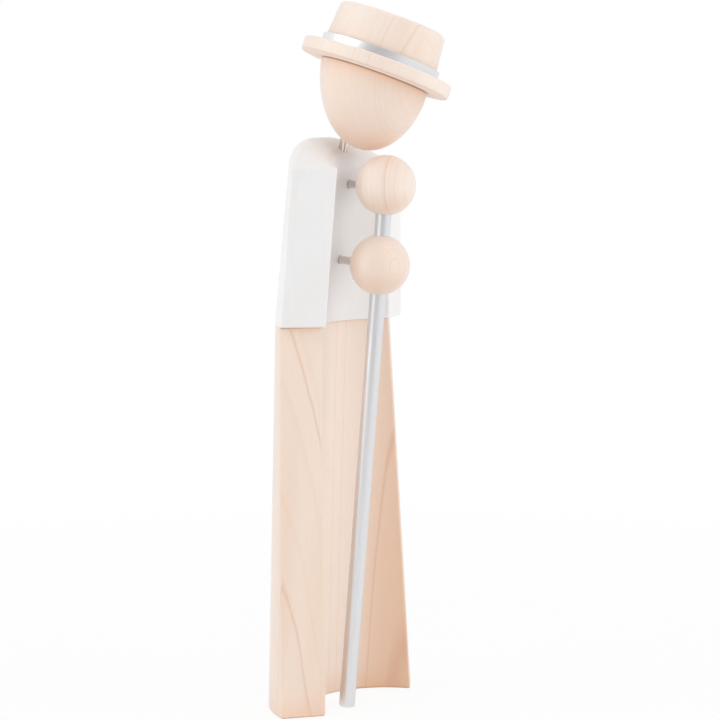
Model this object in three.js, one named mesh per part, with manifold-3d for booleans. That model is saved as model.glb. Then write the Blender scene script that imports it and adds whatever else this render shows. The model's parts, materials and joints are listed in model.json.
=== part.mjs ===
// Wooden nativity shepherd: a hollow-fronted robe and jacket, a pinned head with a hat,
// two ball hands on pins and a metal staff. Millimetres, +Z up, the figure faces -Y.
import * as THREE from 'three';
import { mergeVertices } from 'three/addons/utils/BufferGeometryUtils.js';
import Module from 'manifold-3d';

// Fits, and how far a cutting shape reaches past what it cuts
const FIT_GAP = 0.3;
const OVERSHOOT = 5;

// Robe: sector of a slightly conical turned ring, sawn off by two slanted planes
const ROBE_HEIGHT = 193.5;
const ROBE_BASE_INNER = 37.4;
const ROBE_BASE_OUTER = 59.7;
const ROBE_TOP_INNER = 33.6;
const ROBE_TOP_OUTER = 55.6;
const ROBE_END_TURN = THREE.MathUtils.degToRad(35.6);
const ROBE_END_BASE = 11.85;
const ROBE_END_TOP = 0.5;
const ROBE_RIDGE = 0.5;

// Jacket: sector of a plain ring, thicker at the back, leaning forward, with round shoulders.
// Its right end is sawn at a steeper turn than its left, and both lean forward less than the ring.
const JACKET_BOTTOM = ROBE_HEIGHT + FIT_GAP;
const JACKET_INNER = 36.4;
const JACKET_INNER_CENTRE = -4.95;
const JACKET_OUTER = 55.9;
const JACKET_LEAN = 0.1157;
const JACKET_RIGHT_TURN = THREE.MathUtils.degToRad(43.5);
const JACKET_RIGHT_END = 10.6;
const JACKET_LEFT_TURN = THREE.MathUtils.degToRad(20.8);
const JACKET_LEFT_END = -7.8;
const JACKET_END_LEAN = 0.0127;
const SHOULDER_END = 271.5;
const SHOULDER_MIDDLE = 286.1;
const SHOULDER_RIDGE = 0.67;
const SHOULDER_BACK_ROUND = 9.2;
const SHOULDER_FRONT_ROLL = 1.43;
const SHOULDER_RIGHT_FALL = 4.4;
const SHOULDER_LEFT_FALL = 1.77;
const SHOULDER_END_FADE = 7;

// Dowels that hold the jacket on the robe
const DOWEL_RADIUS = 4;
const DOWEL_LENGTH = 40;
const DOWEL_X = 22;
const DOWEL_Y = 38;

// Neck pin, entering the inner slope of the shoulders and bowed forward
const PIN_RADIUS = 2;
const NECK_Y = 28.1;
const NECK_Z = 279.1;
const NECK_BOW = THREE.MathUtils.degToRad(11.1);
const NECK_PIN_DOWN = 11;
const NECK_PIN_UP = 30;

// Head: egg of revolution, its axis in front of the neck pin
const HEAD_RADIUS = 27.5;
const HEAD_HALF_LENGTH = 41.1;
const HEAD_FORWARD = 13;
const HEAD_RISE = 44.7;

// Hat, worn askew on a flat cut of the head; heights from the middle of the brim
const HAT_SIDE_TILT = THREE.MathUtils.degToRad(14.6);
const HAT_FORWARD_TILT = THREE.MathUtils.degToRad(2.4);
const BRIM_RADIUS = 38.3;
const BRIM_HALF = 3.5;
const BRIM_EDGE = 1.2;
const CROWN_FOOT_RADIUS = 29.1;
const CROWN_TOP_RADIUS = 27.1;
const CROWN_TOP = 25.6;
const CROWN_EDGE = 2.5;
const BAND_WALL = 0.9;
const BAND_HEIGHT = 4.1;
const PEG_RADIUS = 5;
const PEG_DOWN = 14;
const PEG_UP = 8;

// Hands and staff; the staff runs from its foot through both balls
const HAND_RADIUS = 15;
const UPPER_HAND = new THREE.Vector3(0, 0.9, 262.8);
const LOWER_HAND_SHARE = 0.8495;
const STAFF_FOOT = new THREE.Vector3(-14.1, 14.6, 0.35);
const STAFF_RADIUS = 4;
const STAFF_CHAMFER = 0.8;
const STAFF_PAST_UPPER = 6;
const HAND_PIN_IN_WALL = 14;
const HAND_PIN_IN_BALL = 8.6;
const LOWER_PIN_DROP = 1.7;

// Facets
const WALL_STATIONS = 32;
const WALL_ROWS = 4;
const SHOULDER_POINTS = 6;
const TURNED_SEGMENTS = 40;
const ROUND_SEGMENTS = 24;
const BALL_RINGS = 18;
const EGG_POINTS = 18;
const EDGE_POINTS = 4;
const MERGE_DISTANCE = 1e-4;

// Colours
const BARE_WOOD = { color: 0xecd8c4, roughness: 0.6, metalness: 0 };
const DOWEL_WOOD = { color: 0xdfc6a6, roughness: 0.7, metalness: 0 };
const WHITE_LACQUER = { color: 0xeceae8, roughness: 0.4, metalness: 0 };
const ALUMINIUM = { color: 0xb9bcc2, roughness: 0.35, metalness: 1 };
const STEEL = { color: 0x9a9a9c, roughness: 0.35, metalness: 1 };

const wasm = await Module();
wasm.setup();

function toSolid(geometry) {
  const bare = geometry.clone();
  bare.deleteAttribute('normal');
  bare.deleteAttribute('uv');
  const merged = mergeVertices(bare, MERGE_DISTANCE);
  return new wasm.Manifold(new wasm.Mesh({
    numProp: 3,
    vertProperties: new Float32Array(merged.attributes.position.array),
    triVerts: new Uint32Array(merged.index.array),
  }));
}

function toGeometry(solid) {
  const mesh = solid.getMesh();
  const geometry = new THREE.BufferGeometry();
  geometry.setAttribute('position', new THREE.BufferAttribute(mesh.vertProperties, 3));
  geometry.setIndex(new THREE.BufferAttribute(mesh.triVerts, 1));
  geometry.computeVertexNormals();
  return geometry;
}

// Cuts every cutter away from the body.
function cut(body, ...cutters) {
  let solid = toSolid(body);
  for (const cutter of cutters) {
    solid = solid.subtract(toSolid(cutter));
  }
  return toGeometry(solid);
}

// Round bar along the line from one point to another.
function bar(radius, from, to) {
  const length = from.distanceTo(to);
  const direction = new THREE.Vector3().subVectors(to, from).normalize();
  const upright = new THREE.Vector3(0, 1, 0);
  const middle = new THREE.Vector3().lerpVectors(from, to, 0.5);
  return new THREE.CylinderGeometry(radius, radius, length, ROUND_SEGMENTS)
    .applyQuaternion(new THREE.Quaternion().setFromUnitVectors(upright, direction))
    .translate(middle.x, middle.y, middle.z);
}

// Body of revolution about Z from a profile of (radius, height) points, bottom to top.
function turned(profile) {
  return new THREE.LatheGeometry(profile, TURNED_SEGMENTS).rotateX(Math.PI / 2);
}

// Quarter-round profile points about a centre, from one angle to another.
function quarter(centreRadius, centreHeight, radius, fromAngle) {
  const points = [];
  for (let i = 0; i <= EDGE_POINTS; i += 1) {
    const angle = fromAngle + (Math.PI / 2) * (i / EDGE_POINTS);
    points.push(new THREE.Vector2(
      centreRadius + radius * Math.cos(angle),
      centreHeight + radius * Math.sin(angle),
    ));
  }
  return points;
}

// Closed skin over a grid of rings, each ring a loop of points, with flat fans over both ends.
function loft(rings) {
  const size = rings[0].length;
  const positions = rings.flat().flatMap((point) => [point.x, point.y, point.z]);
  const index = [];
  for (let i = 0; i + 1 < rings.length; i += 1) {
    for (let j = 0; j < size; j += 1) {
      const a = i * size + j;
      const b = i * size + ((j + 1) % size);
      index.push(a, b, a + size, b, b + size, a + size);
    }
  }
  const last = (rings.length - 1) * size;
  const outline = (ring) => ring.map((point) => new THREE.Vector2(Math.hypot(point.x, point.y), point.z));
  for (const [a, b, c] of THREE.ShapeUtils.triangulateShape(outline(rings[0]), [])) {
    index.push(a, c, b);
  }
  for (const [a, b, c] of THREE.ShapeUtils.triangulateShape(outline(rings[rings.length - 1]), [])) {
    index.push(last + a, last + b, last + c);
  }
  const geometry = new THREE.BufferGeometry();
  geometry.setAttribute('position', new THREE.Float32BufferAttribute(positions, 3));
  geometry.setIndex(index);
  return geometry;
}

// Half angle at which a circle about (0, centreY) meets an end plane.
// The plane's normal is turned from straight ahead towards the side by endTurn.
function endAngle(radius, centreY, endTurn, endDistance) {
  return Math.acos(-(endDistance + Math.cos(endTurn) * centreY) / radius) - endTurn;
}

// Upright wall on a ring sector. share runs from -1 at the right end face to 1 at the left,
// across from 0 at the hollow to 1 at the back.
function wallPoint(wall, share, across, z) {
  const end = share < 0 ? wall.rightEnd : wall.leftEnd;
  const sides = [wall.inner(z), wall.outer(z)].map(([radius, centreY]) => {
    const angle = share * endAngle(radius, centreY, end.turn, end.distance(z));
    return new THREE.Vector3(radius * Math.sin(angle), centreY + radius * Math.cos(angle), z);
  });
  return sides[0].lerp(sides[1], across);
}

// Section of the wall: up the back, over a round top whose crest is at the ridge, down the front.
// Each side of the top is an ellipse where its roll is 1, and flatter above that.
function wallRing(wall, share) {
  const crest = wall.crest(share);
  const fade = 1 - Math.abs(share) ** SHOULDER_END_FADE;
  const back = { across: 1, drop: wall.backRound * fade, roll: 1 };
  const front = { across: 0, drop: crest - wall.hollowTop, roll: SHOULDER_FRONT_ROLL };
  const rise = ({ across, drop, roll }) => {
    const points = [];
    for (let i = 0; i < WALL_ROWS; i += 1) {
      const z = THREE.MathUtils.lerp(wall.bottom, crest - drop, i / WALL_ROWS);
      points.push(wallPoint(wall, share, across, z));
    }
    for (let i = 0; i < SHOULDER_POINTS; i += 1) {
      const angle = (Math.PI / 2) * (i / SHOULDER_POINTS);
      const towards = THREE.MathUtils.lerp(wall.ridge, across, Math.cos(angle) ** roll);
      points.push(wallPoint(wall, share, towards, crest - drop * (1 - Math.sin(angle) ** roll)));
    }
    return points;
  };
  return [...rise(back), wallPoint(wall, share, wall.ridge, crest), ...rise(front).reverse()];
}

// Stations lie closer together towards the end faces.
function curvedWall(wall) {
  const rings = [];
  for (let i = 0; i <= WALL_STATIONS; i += 1) {
    rings.push(wallRing(wall, -Math.cos(Math.PI * (i / WALL_STATIONS))));
  }
  return loft(rings);
}

const robeEnd = {
  turn: ROBE_END_TURN,
  distance: (z) => THREE.MathUtils.lerp(ROBE_END_BASE, ROBE_END_TOP, z / ROBE_HEIGHT),
};

const robeShape = {
  bottom: 0,
  inner: (z) => [THREE.MathUtils.lerp(ROBE_BASE_INNER, ROBE_TOP_INNER, z / ROBE_HEIGHT), 0],
  outer: (z) => [THREE.MathUtils.lerp(ROBE_BASE_OUTER, ROBE_TOP_OUTER, z / ROBE_HEIGHT), 0],
  rightEnd: robeEnd,
  leftEnd: robeEnd,
  crest: () => ROBE_HEIGHT,
  ridge: ROBE_RIDGE,
  backRound: 0,
  hollowTop: ROBE_HEIGHT,
};

// Radius and centre of a jacket surface, which leans forward on its way up.
function jacketArc(radius, centreY, z) {
  return [radius, centreY - JACKET_LEAN * (z - JACKET_BOTTOM)];
}

function jacketEnd(turn, distance) {
  return { turn, distance: (z) => distance + JACKET_END_LEAN * (z - JACKET_BOTTOM) };
}

// Height of the shoulders' crest, falling late to the right end face and early to the left.
function shoulderCrest(share) {
  const fall = share < 0 ? SHOULDER_RIGHT_FALL : SHOULDER_LEFT_FALL;
  return THREE.MathUtils.lerp(SHOULDER_MIDDLE, SHOULDER_END, Math.abs(share) ** fall);
}

const jacketShape = {
  bottom: JACKET_BOTTOM,
  inner: (z) => jacketArc(JACKET_INNER, JACKET_INNER_CENTRE, z),
  outer: (z) => jacketArc(JACKET_OUTER, 0, z),
  rightEnd: jacketEnd(JACKET_RIGHT_TURN, JACKET_RIGHT_END),
  leftEnd: jacketEnd(JACKET_LEFT_TURN, JACKET_LEFT_END),
  crest: shoulderCrest,
  ridge: SHOULDER_RIDGE,
  backRound: SHOULDER_BACK_ROUND,
  hollowTop: SHOULDER_END,
};

function piece(name, geometry, finish) {
  const mesh = new THREE.Mesh(geometry, new THREE.MeshStandardMaterial(finish));
  mesh.name = name;
  return mesh;
}

// Lines that the pins, dowels and the staff follow, from one end to the other
const staffAxis = new THREE.Vector3().subVectors(UPPER_HAND, STAFF_FOOT).normalize();
const staffTop = UPPER_HAND.clone().addScaledVector(staffAxis, STAFF_PAST_UPPER);
const lowerHand = STAFF_FOOT.clone().lerp(UPPER_HAND, LOWER_HAND_SHARE);

// The pin leaves the jacket's hollow straight behind the hand, higher than the hand by the drop.
function handPinLine(hand, drop) {
  const [radius, centreY] = jacketShape.inner(hand.z + drop);
  const wall = new THREE.Vector3(hand.x, centreY + Math.sqrt(radius ** 2 - hand.x ** 2), hand.z + drop);
  const inward = new THREE.Vector3().subVectors(wall, hand).normalize();
  const tip = hand.clone().addScaledVector(inward, HAND_RADIUS - HAND_PIN_IN_BALL);
  const root = wall.clone().addScaledVector(inward, HAND_PIN_IN_WALL);
  return { tip, root, inward };
}

const upperPin = handPinLine(UPPER_HAND, 0);
const lowerPin = handPinLine(lowerHand, LOWER_PIN_DROP);

function handPinHole({ tip, root, inward }) {
  return bar(
    PIN_RADIUS + FIT_GAP,
    tip.clone().addScaledVector(inward, -FIT_GAP),
    root.clone().addScaledVector(inward, FIT_GAP),
  );
}

const neckUp = new THREE.Vector3(0, -Math.sin(NECK_BOW), Math.cos(NECK_BOW));
const neckFoot = new THREE.Vector3(0, NECK_Y, NECK_Z);

function dowelLine(side, extra) {
  const half = DOWEL_LENGTH / 2 + extra;
  return [
    new THREE.Vector3(side * DOWEL_X, DOWEL_Y, JACKET_BOTTOM - half),
    new THREE.Vector3(side * DOWEL_X, DOWEL_Y, JACKET_BOTTOM + half),
  ];
}

function dowelHoles() {
  return [-1, 1].map((side) => bar(DOWEL_RADIUS + FIT_GAP, ...dowelLine(side, FIT_GAP)));
}

function makeRobe() {
  return piece('robe', cut(curvedWall(robeShape), ...dowelHoles()), BARE_WOOD);
}

function makeJacket() {
  const neckHole = bar(
    PIN_RADIUS + FIT_GAP,
    neckFoot.clone().addScaledVector(neckUp, -NECK_PIN_DOWN - FIT_GAP),
    neckFoot.clone().addScaledVector(neckUp, NECK_PIN_UP),
  );
  const holes = [...dowelHoles(), neckHole, handPinHole(upperPin), handPinHole(lowerPin)];
  return piece('jacket', cut(curvedWall(jacketShape), ...holes), WHITE_LACQUER);
}

function makeDowels() {
  const sides = { left: 1, right: -1 };
  return Object.entries(sides).map(([name, side]) => (
    piece(`body_dowel_${name}`, bar(DOWEL_RADIUS, ...dowelLine(side, 0)), DOWEL_WOOD)
  ));
}

function makeHand(name, centre, pinLine, staffHoleFrom, staffHoleTo) {
  const ball = new THREE.SphereGeometry(HAND_RADIUS, ROUND_SEGMENTS, BALL_RINGS);
  ball.rotateX(Math.PI / 2).translate(centre.x, centre.y, centre.z);
  const staffHole = bar(STAFF_RADIUS + FIT_GAP, staffHoleFrom, staffHoleTo);
  return piece(name, cut(ball, handPinHole(pinLine), staffHole), BARE_WOOD);
}

function makeHands() {
  const reach = HAND_RADIUS + OVERSHOOT;
  const below = (hand) => hand.clone().addScaledVector(staffAxis, -reach);
  const above = (hand) => hand.clone().addScaledVector(staffAxis, reach);
  const blindEnd = staffTop.clone().addScaledVector(staffAxis, FIT_GAP);
  return [
    makeHand('upper_hand', UPPER_HAND, upperPin, below(UPPER_HAND), blindEnd),
    makeHand('lower_hand', lowerHand, lowerPin, below(lowerHand), above(lowerHand)),
    piece('upper_hand_pin', bar(PIN_RADIUS, upperPin.tip, upperPin.root), STEEL),
    piece('lower_hand_pin', bar(PIN_RADIUS, lowerPin.tip, lowerPin.root), STEEL),
  ];
}

// The rod is turned along its own Z and set on its foot, leaning to the upper hand.
function makeStaff() {
  const length = staffTop.distanceTo(STAFF_FOOT);
  const profile = [
    new THREE.Vector2(0, 0),
    new THREE.Vector2(STAFF_RADIUS - STAFF_CHAMFER, 0),
    new THREE.Vector2(STAFF_RADIUS, STAFF_CHAMFER),
    new THREE.Vector2(STAFF_RADIUS, length),
    new THREE.Vector2(0, length),
  ];
  const rod = new THREE.LatheGeometry(profile, ROUND_SEGMENTS).rotateX(Math.PI / 2);
  const staff = piece('staff', rod, ALUMINIUM);
  staff.position.copy(STAFF_FOOT);
  staff.quaternion.setFromUnitVectors(new THREE.Vector3(0, 0, 1), staffAxis);
  return staff;
}

const hatTurn = new THREE.Euler(HAT_FORWARD_TILT, HAT_SIDE_TILT, 0);

function onAxis(height) {
  return new THREE.Vector3(0, 0, height);
}

// Moves a shape from the hat's frame to the head's.
function fromHat(geometry) {
  return geometry.applyQuaternion(new THREE.Quaternion().setFromEuler(hatTurn));
}

// The egg's axis is Z and its middle is at the origin, level with the middle of the brim.
function makeHead() {
  const profile = [];
  for (let i = 0; i <= EGG_POINTS; i += 1) {
    const angle = Math.PI * (i / EGG_POINTS);
    profile.push(new THREE.Vector2(HEAD_RADIUS * Math.sin(angle), -HEAD_HALF_LENGTH * Math.cos(angle)));
  }
  profile[0].x = 0;
  profile[EGG_POINTS].x = 0;
  const hatSeat = -BRIM_HALF - FIT_GAP;
  const blockSize = 2 * (HEAD_HALF_LENGTH + OVERSHOOT);
  const block = new THREE.BoxGeometry(blockSize, blockSize, blockSize);
  const topBlock = fromHat(block.translate(0, 0, hatSeat + blockSize / 2));
  const pegHole = fromHat(bar(PEG_RADIUS + FIT_GAP, onAxis(-PEG_DOWN - FIT_GAP), onAxis(OVERSHOOT)));
  const pinTop = NECK_PIN_UP + FIT_GAP - HEAD_RISE;
  const pinHole = bar(PIN_RADIUS + FIT_GAP, onAxis(-HEAD_RISE), onAxis(pinTop));
  pinHole.translate(0, HEAD_FORWARD, 0);
  return piece('head', cut(turned(profile), topBlock, pegHole, pinHole), BARE_WOOD);
}

function crownRadius(height) {
  const share = (height - BRIM_HALF) / (CROWN_TOP - BRIM_HALF);
  return THREE.MathUtils.lerp(CROWN_FOOT_RADIUS, CROWN_TOP_RADIUS, share);
}

function makeHat() {
  const rim = BRIM_RADIUS - BRIM_EDGE;
  const shoulder = crownRadius(CROWN_TOP - CROWN_EDGE) - CROWN_EDGE;
  const profile = [
    new THREE.Vector2(0, -BRIM_HALF),
    ...quarter(rim, BRIM_EDGE - BRIM_HALF, BRIM_EDGE, -Math.PI / 2),
    ...quarter(rim, BRIM_HALF - BRIM_EDGE, BRIM_EDGE, 0),
    new THREE.Vector2(CROWN_FOOT_RADIUS, BRIM_HALF),
    ...quarter(shoulder, CROWN_TOP - CROWN_EDGE, CROWN_EDGE, 0),
    new THREE.Vector2(0, CROWN_TOP),
  ];
  const pegHole = bar(PEG_RADIUS + FIT_GAP, onAxis(-BRIM_HALF - OVERSHOOT), onAxis(PEG_UP + FIT_GAP));
  return piece('hat', cut(turned(profile), pegHole), BARE_WOOD);
}

function makeHatBand() {
  const bottom = BRIM_HALF + FIT_GAP;
  const inner = CROWN_FOOT_RADIUS + FIT_GAP;
  const section = [
    new THREE.Vector2(inner, bottom),
    new THREE.Vector2(inner + BAND_WALL, bottom),
    new THREE.Vector2(inner + BAND_WALL, bottom + BAND_HEIGHT),
    new THREE.Vector2(inner, bottom + BAND_HEIGHT),
    new THREE.Vector2(inner, bottom),
  ];
  return piece('hat_band', turned(section), ALUMINIUM);
}

function makeHeadGroup() {
  const peg = piece('hat_peg', bar(PEG_RADIUS, onAxis(-PEG_DOWN), onAxis(PEG_UP)), DOWEL_WOOD);
  const hat = new THREE.Group();
  hat.rotation.copy(hatTurn);
  hat.add(makeHat(), makeHatBand(), peg);

  const head = new THREE.Group();
  head.position.set(0, -HEAD_FORWARD, HEAD_RISE);
  head.add(makeHead(), hat);

  const pin = piece('neck_pin', bar(PIN_RADIUS, onAxis(-NECK_PIN_DOWN), onAxis(NECK_PIN_UP)), STEEL);
  const neck = new THREE.Group();
  neck.position.copy(neckFoot);
  neck.rotation.x = NECK_BOW;
  neck.add(pin, head);
  return neck;
}

const shepherd = new THREE.Group();
shepherd.add(makeRobe(), makeJacket(), ...makeDowels(), ...makeHands(), makeStaff(), makeHeadGroup());

// The origin is the middle of the figure's box, on the base.
const box = new THREE.Box3().setFromObject(shepherd, true);
const middle = box.getCenter(new THREE.Vector3());
shepherd.position.set(-middle.x, -middle.y, 0);

export default shepherd;
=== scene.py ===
"""Looks of a wooden nativity shepherd: maple, white lacquer and metal on its CAD frame."""
import json
import math
from dataclasses import dataclass
from typing import Callable

import bmesh
import bpy
from mathutils import Matrix, Vector


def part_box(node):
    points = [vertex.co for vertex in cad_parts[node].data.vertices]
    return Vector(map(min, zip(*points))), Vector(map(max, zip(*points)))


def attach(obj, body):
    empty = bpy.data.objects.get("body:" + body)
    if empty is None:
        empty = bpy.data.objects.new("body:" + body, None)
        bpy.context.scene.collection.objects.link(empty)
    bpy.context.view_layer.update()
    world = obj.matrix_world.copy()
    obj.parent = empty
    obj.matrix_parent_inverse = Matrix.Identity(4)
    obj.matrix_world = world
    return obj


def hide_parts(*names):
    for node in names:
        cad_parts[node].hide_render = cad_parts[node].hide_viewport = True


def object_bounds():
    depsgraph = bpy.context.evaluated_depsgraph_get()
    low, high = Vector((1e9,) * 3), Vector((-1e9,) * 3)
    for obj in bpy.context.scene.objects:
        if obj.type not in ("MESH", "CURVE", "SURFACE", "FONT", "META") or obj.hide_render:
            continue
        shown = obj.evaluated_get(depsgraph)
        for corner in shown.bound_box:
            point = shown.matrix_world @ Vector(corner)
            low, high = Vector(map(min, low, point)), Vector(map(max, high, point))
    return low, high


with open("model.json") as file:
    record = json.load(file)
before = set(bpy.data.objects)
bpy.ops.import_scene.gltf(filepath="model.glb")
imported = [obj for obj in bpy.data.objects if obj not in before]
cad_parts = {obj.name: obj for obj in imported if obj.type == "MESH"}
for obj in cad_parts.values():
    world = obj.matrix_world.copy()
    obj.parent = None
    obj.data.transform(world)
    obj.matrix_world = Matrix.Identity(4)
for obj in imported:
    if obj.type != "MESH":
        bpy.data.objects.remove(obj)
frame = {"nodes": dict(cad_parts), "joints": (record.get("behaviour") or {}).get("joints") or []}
CAD_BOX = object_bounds()

# Robe, metres: sector of a slightly conical ring about the Z axis of the ring frame
ROBE_HEIGHT = 0.1935
ROBE_BASE_INNER = 0.0374
ROBE_BASE_OUTER = 0.0597
ROBE_TOP_INNER = 0.0336
ROBE_TOP_OUTER = 0.0556
ROBE_END_TURN = math.radians(35.6)
ROBE_END_BASE = 0.01185
ROBE_END_TOP = 0.0005
ROBE_END_EDGE = 0.0011
ROBE_BOTTOM_EDGE = 0.0013
ROBE_TOP_EDGE = 0.0002

# Jacket: sector of a plain ring that leans forward, with round shoulders
JACKET_BOTTOM = 0.1936
JACKET_INNER = 0.0364
JACKET_INNER_CENTRE = -0.00495
JACKET_OUTER = 0.0559
JACKET_LEAN = 0.1157
JACKET_RIGHT_TURN = math.radians(43.5)
JACKET_RIGHT_END = 0.0106
JACKET_LEFT_TURN = math.radians(20.8)
JACKET_LEFT_END = -0.0078
JACKET_END_LEAN = 0.0127
JACKET_END_EDGE = 0.0008
JACKET_BOTTOM_EDGE = 0.0003
JACKET_TOP_EDGE = 0.0008
SHOULDER_END = 0.2715
SHOULDER_MIDDLE = 0.2861
SHOULDER_RIDGE = 0.67
SHOULDER_BACK_ROUND = 0.0092
SHOULDER_FRONT_ROLL = 1.43
SHOULDER_RIGHT_FALL = 4.4
SHOULDER_LEFT_FALL = 1.77
SHOULDER_END_FADE = 7

# Roll of a wall's top that curves as a plain ellipse
ELLIPSE_ROLL = 1.0

# Dowels between robe and jacket
DOWEL_RADIUS = 0.004
DOWEL_LENGTH = 0.040
DOWEL_X = 0.022
DOWEL_Y = 0.038

# Neck pin and head, in the frame of the neck joint
PIN_RADIUS = 0.002
PIN_CHAMFER = 0.0003
NECK_BOW = math.radians(11.1)
NECK_PIN_DOWN = 0.011
NECK_PIN_UP = 0.030
HEAD_RADIUS = 0.0275
HEAD_HALF_LENGTH = 0.0411
HEAD_FORWARD = 0.013
HEAD_RISE = 0.0447
HEAD_SEAT_CHAMFER = 0.0004

# Hat, heights from the middle of the brim
HAT_SIDE_TILT = math.radians(14.6)
HAT_FORWARD_TILT = math.radians(2.4)
BRIM_RADIUS = 0.0383
BRIM_HALF = 0.0035
BRIM_EDGE = 0.0012
CROWN_FOOT_RADIUS = 0.0291
CROWN_TOP_RADIUS = 0.0271
CROWN_TOP = 0.0256
CROWN_EDGE = 0.0025
BAND_WALL = 0.0009
BAND_HEIGHT = 0.0041
BAND_EDGE = 0.00025
PEG_RADIUS = 0.005
PEG_DOWN = 0.014
PEG_UP = 0.008

# Hands and staff, ring frame
HAND_RADIUS = 0.015
UPPER_HAND = Vector((0, 0.0009, 0.2628))
LOWER_HAND_SHARE = 0.8495
STAFF_FOOT = Vector((-0.0141, 0.0146, 0.00035))
STAFF_RADIUS = 0.004
STAFF_CHAMFER = 0.0008
STAFF_PAST_UPPER = 0.006
HAND_PIN_IN_WALL = 0.014
HAND_PIN_IN_BALL = 0.0086
LOWER_PIN_DROP = 0.0017

# Fits
SEAT_GAP = 0.0003
DRILL_GAP = 0.00015
OVERSHOOT = 0.005

# Mesh fineness
WALL_STATIONS = 72
EDGE_STEPS = 6
BOTTOM_STEPS = 5
SIDE_STEPS = 24
CORNER_STEPS = 6
SHOULDER_STEPS = 14
TOP_STEPS = 4
RIDGE_FLAT = 0.02
LEAST_EDGE = 0.00005
TURNED_SEGMENTS = 128
DRILL_SEGMENTS = 48
ON_AXIS = 1e-9
EGG_ROWS = 72
BALL_ROWS = 64
SMOOTH_ANGLE = math.radians(40)

# Camera: square picture on a 36 mm wide sensor, aimed along the fitted line of sight
SENSOR_WIDTH = 36.0
LENS = 124.05
CAMERA_TURN = math.radians(53.115)
CAMERA_PITCH = math.radians(6.1544)
CAMERA_DISTANCE = 1.230
CAMERA_HEIGHT = 0.30848
CAMERA_SIDESTEP = 0.013483

# Frames: the ring that robe and jacket lie on, the neck joint, the head and the hat
UP = Vector((0, 0, 1))
UPRIGHT = tuple(UP)
JOINT = frame["joints"][0]
RING_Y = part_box("robe")[1].y - ROBE_BASE_OUTER
RING = Matrix.Translation((0, RING_Y, 0))
NECK = Matrix.Translation(JOINT["pos_m"]) @ Matrix.Rotation(NECK_BOW, 4, "X")
HEAD = NECK @ Matrix.Translation((0, -HEAD_FORWARD, HEAD_RISE))
HAT_TURN = Matrix.Rotation(HAT_FORWARD_TILT, 4, "X") @ Matrix.Rotation(HAT_SIDE_TILT, 4, "Y")
HAT = HEAD @ HAT_TURN


def lerp(a, b, share):
    return a + (b - a) * share


def srgb(red, green, blue):
    """Linear colour of an 8-bit display colour."""
    def linear(value):
        value /= 255
        return value / 12.92 if value <= 0.04045 else ((value + 0.055) / 1.055) ** 2.4
    return (linear(red), linear(green), linear(blue), 1.0)


# Node trees

BUMP_DEPTH = 0.0001
SHADE_REACH = 0.018
SHADE_SAMPLES = 4

# Sockets of a Mix node: its factor, its two colours and the colour that comes out
MIX_INPUTS = (0, 6, 7)
MIX_RESULT = 2


class Graph:
    """A node tree, written as short calls."""

    def __init__(self, tree):
        self.tree = tree
        tree.nodes.clear()

    def node(self, kind, **settings):
        made = self.tree.nodes.new(kind)
        for key, value in settings.items():
            setattr(made, key, value)
        return made

    def put(self, socket, value):
        """Links a socket to an output, or sets its value."""
        if isinstance(value, bpy.types.NodeSocket):
            self.tree.links.new(value, socket)
        else:
            socket.default_value = value

    def fill(self, made, values):
        """Puts values into a node's inputs by name or number, and gives the node back."""
        for key, value in values.items():
            self.put(made.inputs[key], value)
        return made

    def math(self, operation, *values):
        made = self.node("ShaderNodeMath", operation=operation)
        return self.fill(made, dict(enumerate(values))).outputs[0]

    def vector(self, operation, *values):
        made = self.node("ShaderNodeVectorMath", operation=operation)
        result = "Value" if operation in ("DOT_PRODUCT", "LENGTH") else "Vector"
        return self.fill(made, dict(enumerate(values))).outputs[result]

    def scaled(self, vector, factor):
        made = self.node("ShaderNodeVectorMath", operation="SCALE")
        return self.fill(made, {0: vector, "Scale": factor}).outputs["Vector"]

    def coordinates(self, output="Object"):
        return self.node("ShaderNodeTexCoord").outputs[output]

    def stretched(self, vector, axis, keep):
        """Shortens a vector along an axis, which draws a texture out along that axis."""
        along = self.math("MULTIPLY", self.vector("DOT_PRODUCT", vector, axis), keep - 1)
        return self.vector("ADD", vector, self.scaled(axis, along))

    def noise(self, place, size, detail=2.0, roughness=0.5, socket="Vector", dimensions="3D"):
        """Noise of about 0 to 1 whose features are about size metres wide."""
        made = self.node("ShaderNodeTexNoise", noise_dimensions=dimensions)
        values = {socket: place, "Scale": 1 / size, "Detail": detail, "Roughness": roughness}
        return self.fill(made, values).outputs["Fac"]

    def noise_along(self, value, size, detail=2.0, roughness=0.5):
        """Noise that varies only along one value."""
        return self.noise(value, size, detail, roughness, "W", "1D")

    def smooth(self, value, low, high, start=0.0, end=1.0):
        """Smooth step of value between low and high, from start to end."""
        made = self.node("ShaderNodeMapRange", interpolation_type="SMOOTHSTEP")
        return self.fill(made, dict(enumerate((value, low, high, start, end)))).outputs[0]

    def mix(self, factor, a, b):
        made = self.node("ShaderNodeMix", data_type="RGBA")
        return self.fill(made, dict(zip(MIX_INPUTS, (factor, a, b)))).outputs[MIX_RESULT]

    def mix_shaders(self, factor, a, b):
        made = self.node("ShaderNodeMixShader")
        return self.fill(made, {0: factor, 1: a, 2: b}).outputs[0]

    def bump(self, height, strength, distance=BUMP_DEPTH):
        made = self.node("ShaderNodeBump")
        values = {"Height": height, "Strength": strength, "Distance": distance}
        return self.fill(made, values).outputs[0]

    def openness(self):
        """1 in the open, and less where other surfaces are near."""
        made = self.node("ShaderNodeAmbientOcclusion", samples=SHADE_SAMPLES)
        return self.fill(made, {"Distance": SHADE_REACH}).outputs["AO"]


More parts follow.
